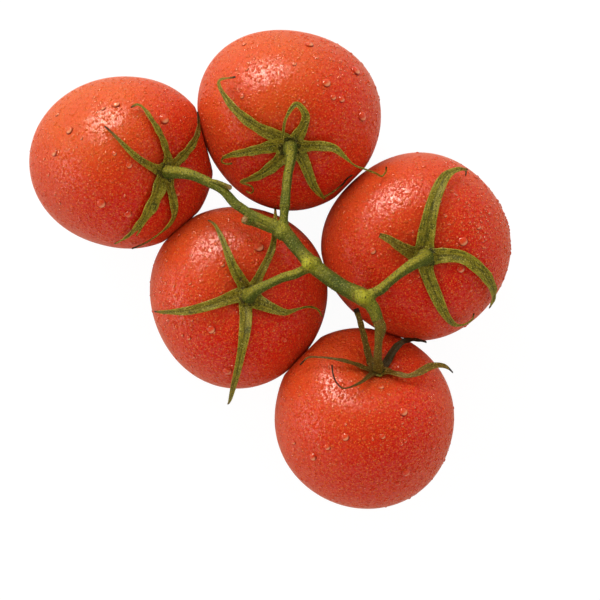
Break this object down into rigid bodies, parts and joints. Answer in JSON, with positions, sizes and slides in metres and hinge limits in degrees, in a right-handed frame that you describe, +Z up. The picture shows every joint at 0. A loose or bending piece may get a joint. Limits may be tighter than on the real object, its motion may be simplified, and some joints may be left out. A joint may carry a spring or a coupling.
{
  "type": "truss of tomatoes",
  "caption": "Bunch of ripe round tomatoes on their branching green stem, with star-shaped calyxes and long curling sepals, lying down as picked.",
  "frame": {"origin": "middle of the bunch seen from above, on the surface that it lies on", "axes": "+Z up, away from the surface; +X and +Y lie in the surface, with the stem on the upper side"},
  "size_m": [0.1678, 0.1667, 0.0666],
  "materials": {
    "skin": "glossy wet skin",
    "stem": "dull, finely haired",
    "calyx": "dull, finely haired"
  },
  "bodies": {
    "root": {"fruit_a": "skin", "fruit_b": "skin", "fruit_c": "skin", "fruit_d": "skin", "fruit_e": "skin", "calyx_a": "calyx", "calyx_b": "calyx", "calyx_c": "calyx", "calyx_d": "calyx", "calyx_e": "calyx", "pedicel_a": "stem", "pedicel_b": "stem", "pedicel_c": "stem", "pedicel_d": "stem", "pedicel_e": "stem", "main_stem": "stem"}
  },
  "joints": []
}
